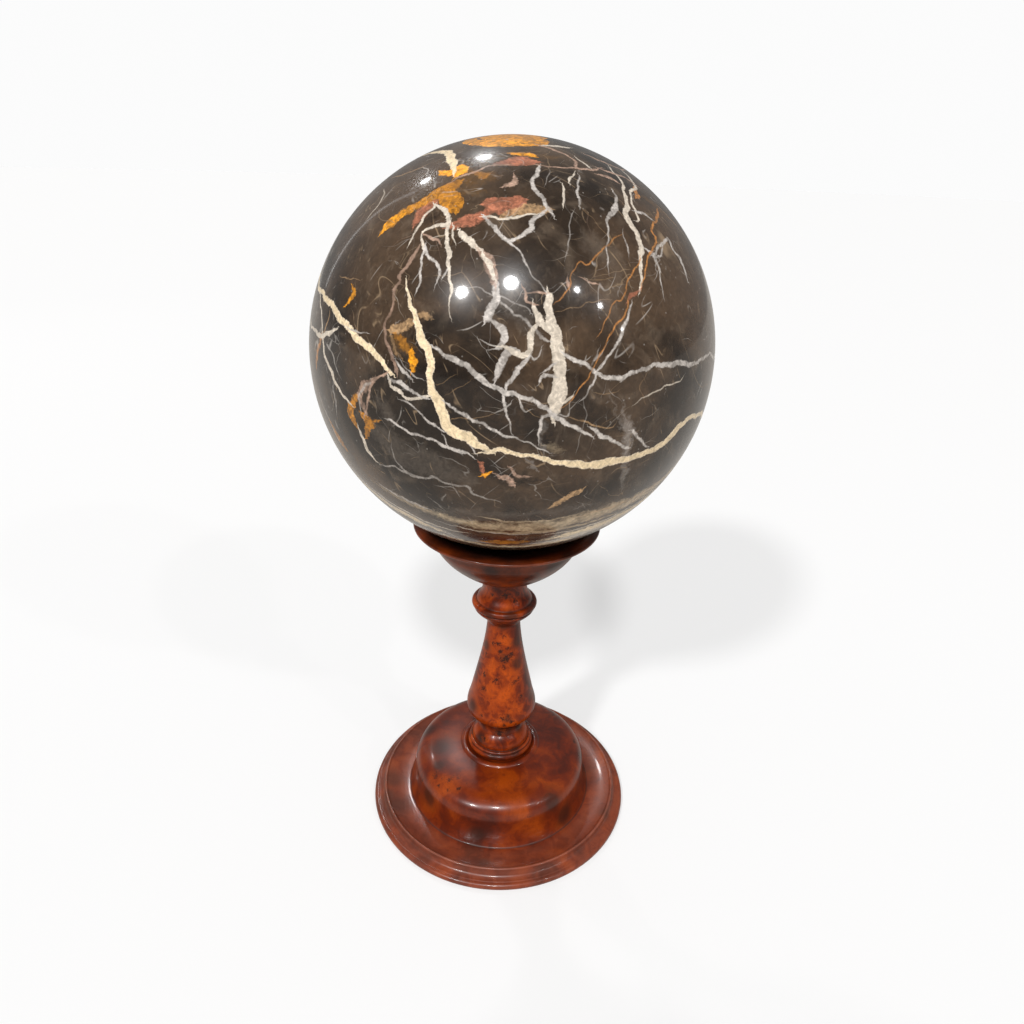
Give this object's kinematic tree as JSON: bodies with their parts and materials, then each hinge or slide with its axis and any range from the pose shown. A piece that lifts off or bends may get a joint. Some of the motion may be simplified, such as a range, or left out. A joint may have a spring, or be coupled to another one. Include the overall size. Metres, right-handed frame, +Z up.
{
  "type": "decorative sphere on stand",
  "caption": "Polished veined marble ball lying in the shallow cup of a turned burr-wood stand with a baluster stem and a domed, moulded foot.",
  "frame": {"origin": "centre of the foot's flat underside, on the surface that the stand stands on", "axes": "+Z up along the common axis of the stand and the ball; X and Y are free, because the piece is turned round Z"},
  "size_m": [0.2, 0.2, 0.3942],
  "materials": {
    "marble": "polished dark brown marble with cream, grey and rust veins",
    "burr_cup": "lacquered red-brown burr wood",
    "burr_stem": "lacquered orange-brown burr wood with dark eyes",
    "burr_foot": "lacquered dark red-brown burr wood with cloudy patches"
  },
  "bodies": {
    "root": {"marble_sphere": "marble", "stand_cup": "burr_cup", "stand_stem": "burr_stem", "stand_foot": "burr_foot"}
  },
  "joints": []
}
